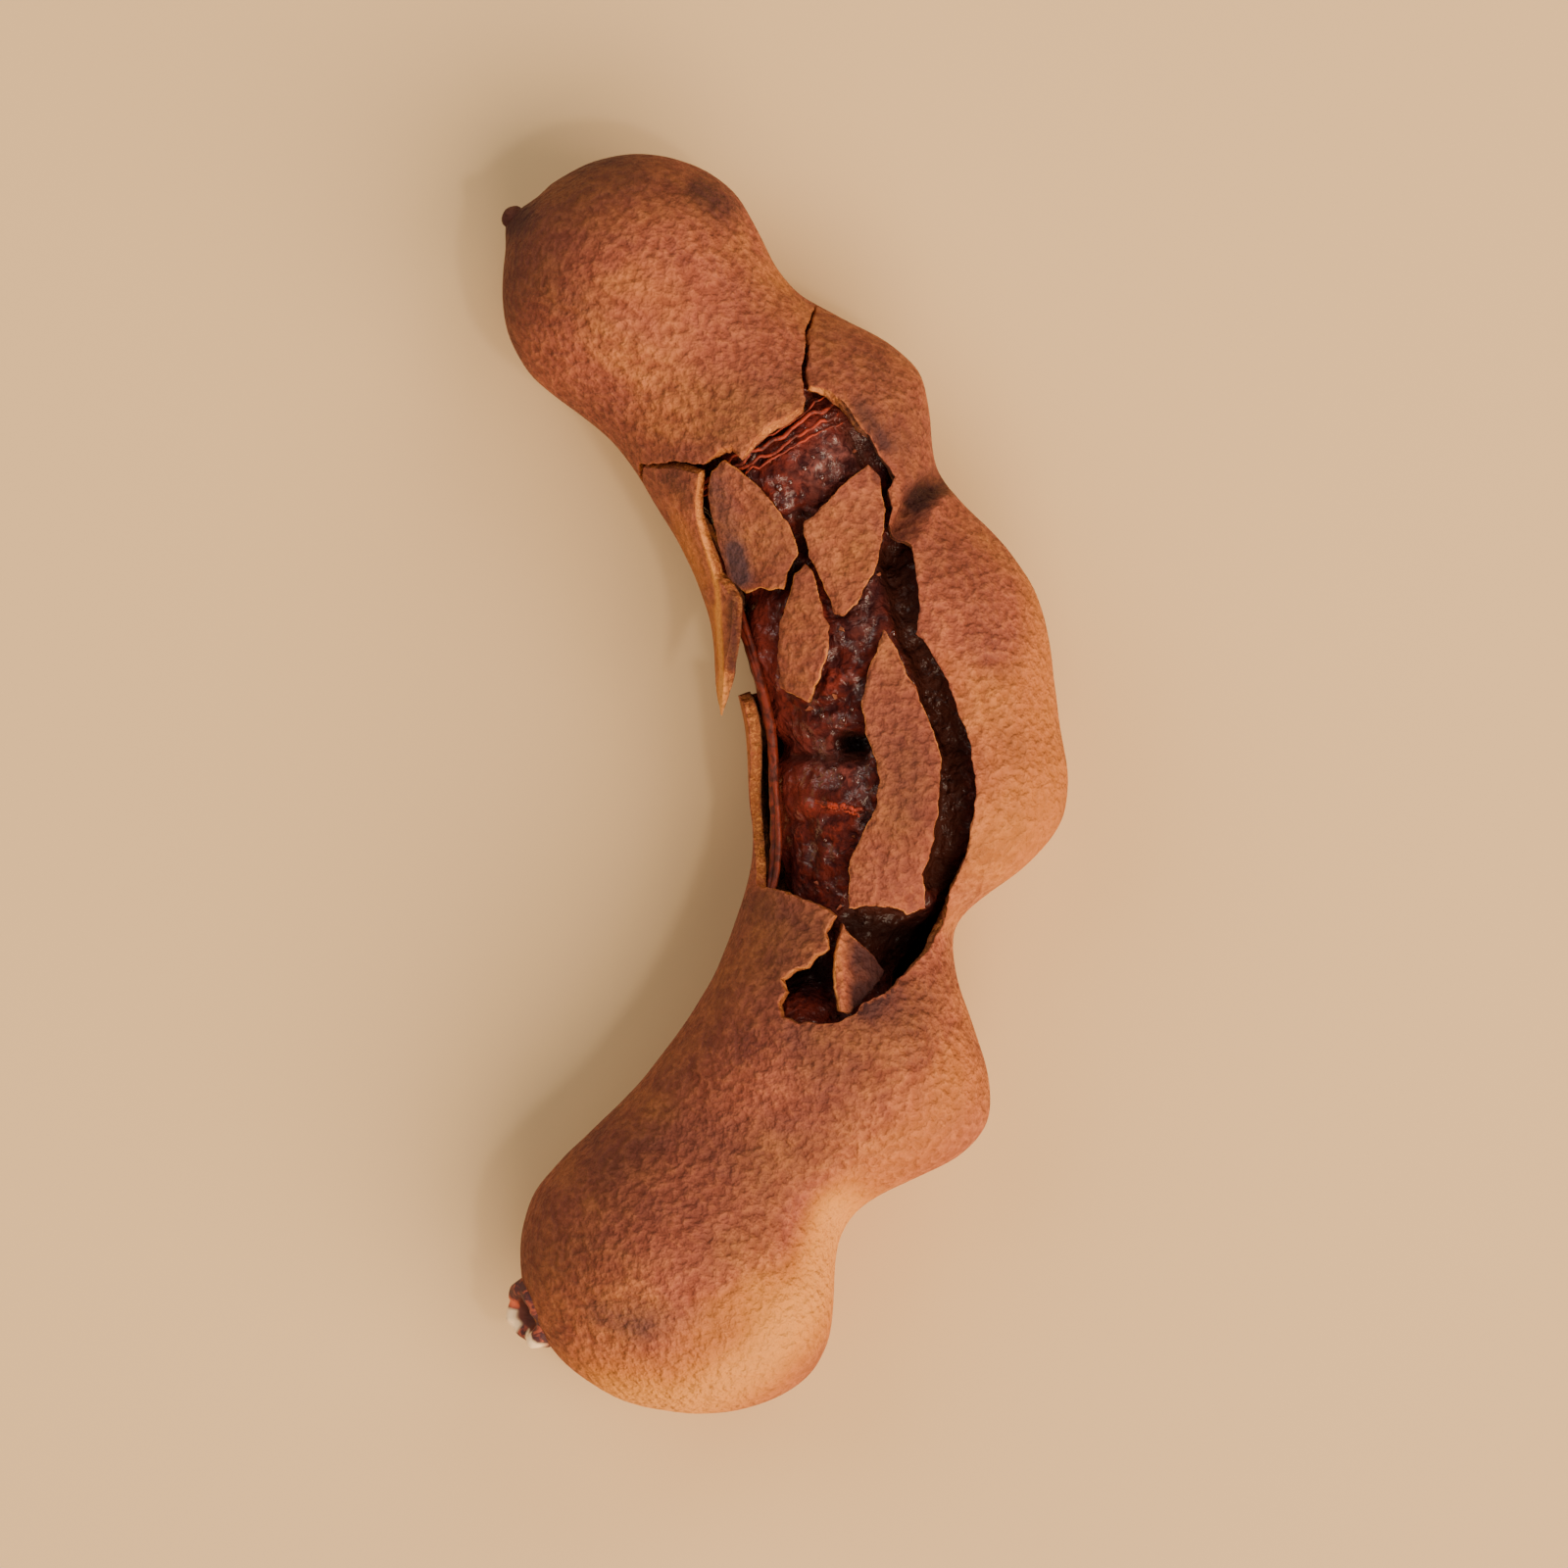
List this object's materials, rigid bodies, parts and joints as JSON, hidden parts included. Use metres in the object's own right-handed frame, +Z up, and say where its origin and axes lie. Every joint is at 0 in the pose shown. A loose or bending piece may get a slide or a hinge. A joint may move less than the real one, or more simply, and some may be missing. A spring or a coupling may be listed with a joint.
{
  "type": "tamarind pod",
  "caption": "Ripe tamarind pod lying on its side, its brittle brown husk cracked open over sticky dark pulp and fibres.",
  "frame": {"origin": "on the surface the pod lies on, under the middle of its bounding box", "axes": "+Y along the pod's length towards the beak, +X towards its bulging outer side, +Z up through the broken face"},
  "size_m": [0.0497, 0.1109, 0.0222],
  "materials": {
    "husk": "dry brittle husk with a matte scurfy skin, cinnamon brown",
    "pulp": "sticky dark maroon fruit pulp with a wet gloss",
    "fibre": "tough orange-brown plant fibre, pulp-stained",
    "stalk": "torn woody stalk, pale inside"
  },
  "bodies": {
    "root": {"husk": "husk", "pulp": "pulp", "fibres": "fibre", "stalk_stub": "stalk", "flake_hollow_side": "husk", "flake_middle": "husk", "flake_narrow": "husk", "flake_long": "husk", "flake_fallen": "husk", "splinter": "husk"}
  },
  "joints": []
}
